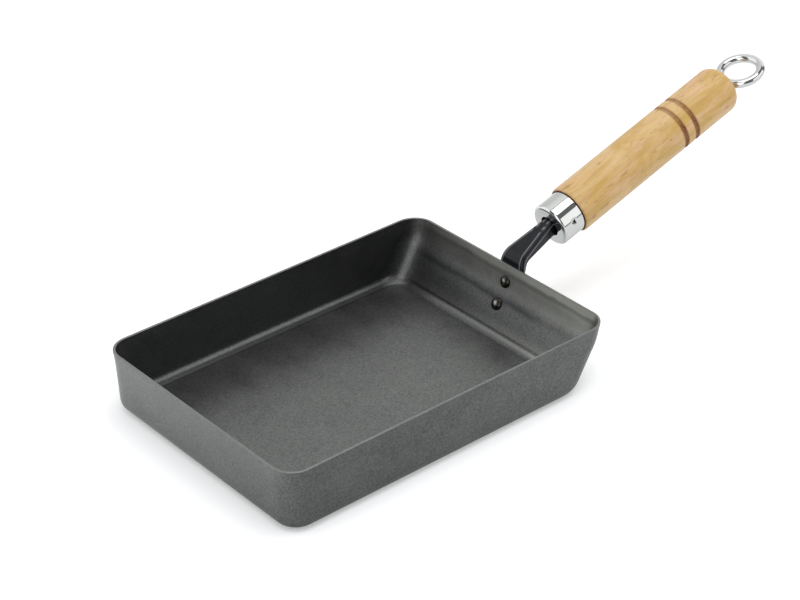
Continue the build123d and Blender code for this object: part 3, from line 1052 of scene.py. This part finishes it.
# The scorch colour is darker below, as painted shade.
scorch_and_shade = (burn_and_shade_mark * (0.8 + (streak - 0.5) * 0.8)).between(0.05, 0.95)
pale = wood.mix(scorch_and_shade * 0.96, pale, (0.165, 0.030, 0.002, 1))
pale = wood.mix(burn_and_shade_mark.between(1.0, 1.6), pale, (0.010, 0.006, 0.005, 1))
varnished_wood = wood.surface(
    Base_Color=pale,
    Roughness=0.46 + (fibre - 0.5) * 0.2 + scorch_and_shade * 0.15,
    Coat_Weight=0.30 - scorch_and_shade * 0.28,
    Coat_Roughness=0.25,
    Normal=wood.bump(fibre + streak * 0.6, 0.02 * mm),
)
print("varnished wood has", len(wood.tree.nodes), "nodes")

# %% [markdown]
# Now each new piece takes its finish, rides on the part's one rigid body and stands for the
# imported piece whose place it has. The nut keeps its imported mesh.

# %% Dress the pieces
dressing = (
    (tray, "pan_body", "tray_steel", tray_steel),
    (tang, "handle_tang", "black_steel", black_enamel),
    (rivets[0], "upper_rivet", "black_steel", black_enamel),
    (rivets[1], "lower_rivet", "black_steel", black_enamel),
    (ferrule, "ferrule", "bright_plating", bright_plating),
    (grip, "wooden_grip", "varnished_wood", varnished_wood),
    (ring, "ring_bolt", "bright_plating", bright_plating),
    (shank, "ring_bolt", "bright_plating", bright_plating),
)
for piece, node, slot, finish in dressing:
    piece.data.materials.append(finish)
    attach(piece, "root")
    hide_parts(node)
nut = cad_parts["tang_nut"]
nut.data.materials.clear()
nut.data.materials.append(plain_steel)
print("dressed", [piece.name for piece, *_ in dressing], "and", nut.name)

# %% [markdown]
# The studio is a pale table in even, soft light. The table's own colour makes the white
# background: in the camera's view it glows just enough to pass white where nothing shades
# it, and the shadow under the pan stays. In reflections it glows too, more towards the back
# left, where the real table was lit most. From below, the table is clear.

# %% Table
table_half = 3.0
table_corners = np.array([(-1, -1, 0), (1, -1, 0), (1, 1, 0), (-1, 1, 0)]) * table_half
table_mesh = bpy.data.meshes.new("table")
table_mesh.from_pydata(table_corners.tolist(), [], [(0, 1, 2, 3)])
table = in_scene("table", table_mesh)
table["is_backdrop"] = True

paper = Finish("table_paper")
seen = paper.add("LightPath", output="Is Camera Ray")
mirrored = paper.add("LightPath", output="Is Glossy Ray")
back_left = {0: paper.spot(), 1: (-0.76, 0.65, 0.0)}
leftwards = paper.add("VectorMath", {"operation": "DOT_PRODUCT"}, back_left, output="Value")
spread = paper.mix(leftwards.between(0.02, 0.13) + seen, (0.1, 0.1, 0.1, 1), (1, 1, 1, 1))
glow = paper.add("Emission", {}, {"Color": spread, "Strength": seen * 0.27 + mirrored * 0.42})
matt = paper.add("BsdfDiffuse", {}, {"Color": (0.86, 0.87, 0.88, 1)})
lit = paper.add("AddShader", {}, {0: matt, 1: glow})
clear = paper.add("BsdfTransparent")
under = paper.add("NewGeometry", output="Backfacing")
sheet_of_paper = paper.add("MixShader", {}, {0: under, 1: lit, 2: clear})
paper.add("OutputMaterial", {}, {"Surface": sheet_of_paper})
table.data.materials.append(paper.material)
print("a table of", 2 * table_half, "m, whose paper has", len(paper.tree.nodes), "nodes")

# %% [markdown]
# What the pan mirrors is as much a part of its look as its own colour. The sky is plain white
# for the camera, and a soft even white for matt surfaces. In reflections it is a photographer's
# tent: white walls of different brightness that lean in towards the lamp overhead, with a dark
# gap round the lamp and narrower ones between the walls. The walls give the steel floor its
# grey, and a gap gives the plated ferrule its one dark streak. Each wall has the two bearings
# that it stands between, a steepness, which is how far its top goes sideways for each step
# up, and a brightness.

# %% World
bpy.context.scene.view_settings.view_transform = "Standard"
world = bpy.data.worlds.new("studio")
bpy.context.scene.world = world
world.use_nodes = True
world.node_tree.nodes.clear()


class Sky(Finish):
    """The same node helper, on the world's tree."""

    def __init__(self, world):
        self.tree = world.node_tree


sky = Sky(world)
seen = sky.add("LightPath", output="Is Camera Ray")
mirrored = sky.add("LightPath", output="Is Glossy Ray")
direction = sky.add("TexCoord", output="Generated")
upwards = sky.add("SeparateXYZ", {}, {0: direction}, output="Z")


def facing(degrees):
    """How far the direction goes towards a bearing, in degrees from X to Y: a dot product."""
    x, y = np.cos(np.radians(degrees)), np.sin(np.radians(degrees))
    values = {0: direction, 1: (float(x), float(y), 0.0)}
    return sky.add("VectorMath", {"operation": "DOT_PRODUCT"}, values, output="Value")


back_glow = 0.82 + upwards.between(0.6, 0.95) * 0.3
walls = (
    (20, 160, 0.20, back_glow),
    (0, 60, 0.90, 1.15),
    (100, 162, 0.85, 1.35),
    (190, 230, 0.80, 1.75),
    (270, 345, 0.99, upwards.between(0.05, 0.07) * 1.4),
)
gap_light = 0.18
matt_light = 0.85
tent = gap_light
for start, end, steepness, brightness in walls:
    lean = facing((start + end) / 2) - upwards * steepness
    span = facing(start + 90).between(0.0, 0.06) * facing(end - 90).between(0.0, 0.06)
    wall = span * lean.between(0.0, 0.06) * brightness
    tent = wall.maths("MAXIMUM", wall, tent)
shown = seen + (1 - seen) * (mirrored * tent + (1 - mirrored) * matt_light)
backdrop = sky.add("Background", {}, {"Color": (1, 1, 1, 1), "Strength": shown})
sky.add("OutputWorld", {}, {"Surface": backdrop})
print("the tent has", len(walls), "walls, made of", len(sky.tree.nodes), "nodes")

# %% [markdown]
# One wide, soft lamp hangs over the pan. It is an area lamp, so the pan's shadow fades out
# gently on the table, and its power is low enough for a colour to render about as it is
# written. A lamp shines along its own -Z, so the axes of its turn are worked out from that.

# %% Lamp
lamp_place = np.array([0.14, -0.15, 1.3])
lamp_target = np.array([0.06, 0.0, 0.03])
lamp_back = (lamp_place - lamp_target) / np.linalg.norm(lamp_place - lamp_target)
lamp_right = np.cross([0.0, 1.0, 0.0], lamp_back)
lamp_right = lamp_right / np.linalg.norm(lamp_right)
lamp_up = np.cross(lamp_back, lamp_right)
lamp_turn = Matrix(np.column_stack([lamp_right, lamp_up, lamp_back]).tolist())

lamp_data = bpy.data.lights.new("overhead", "AREA")
lamp_data.shape = "RECTANGLE"
lamp_data.size, lamp_data.size_y, lamp_data.energy = 1.1, 0.76, 6.3
lamp = in_scene("overhead", lamp_data)
lamp.matrix_world = Matrix.Translation(lamp_place.tolist()) @ lamp_turn.to_4x4()
print("the lamp gives", round(lamp_data.energy, 1), "W from", lamp_place, "m")

# %% [markdown]
# Last, the box of the dressed model is printed.

# %% Finish
low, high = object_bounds()
print("box of the dressed model", [tuple(round(c, 4) for c in corner) for corner in (low, high)])
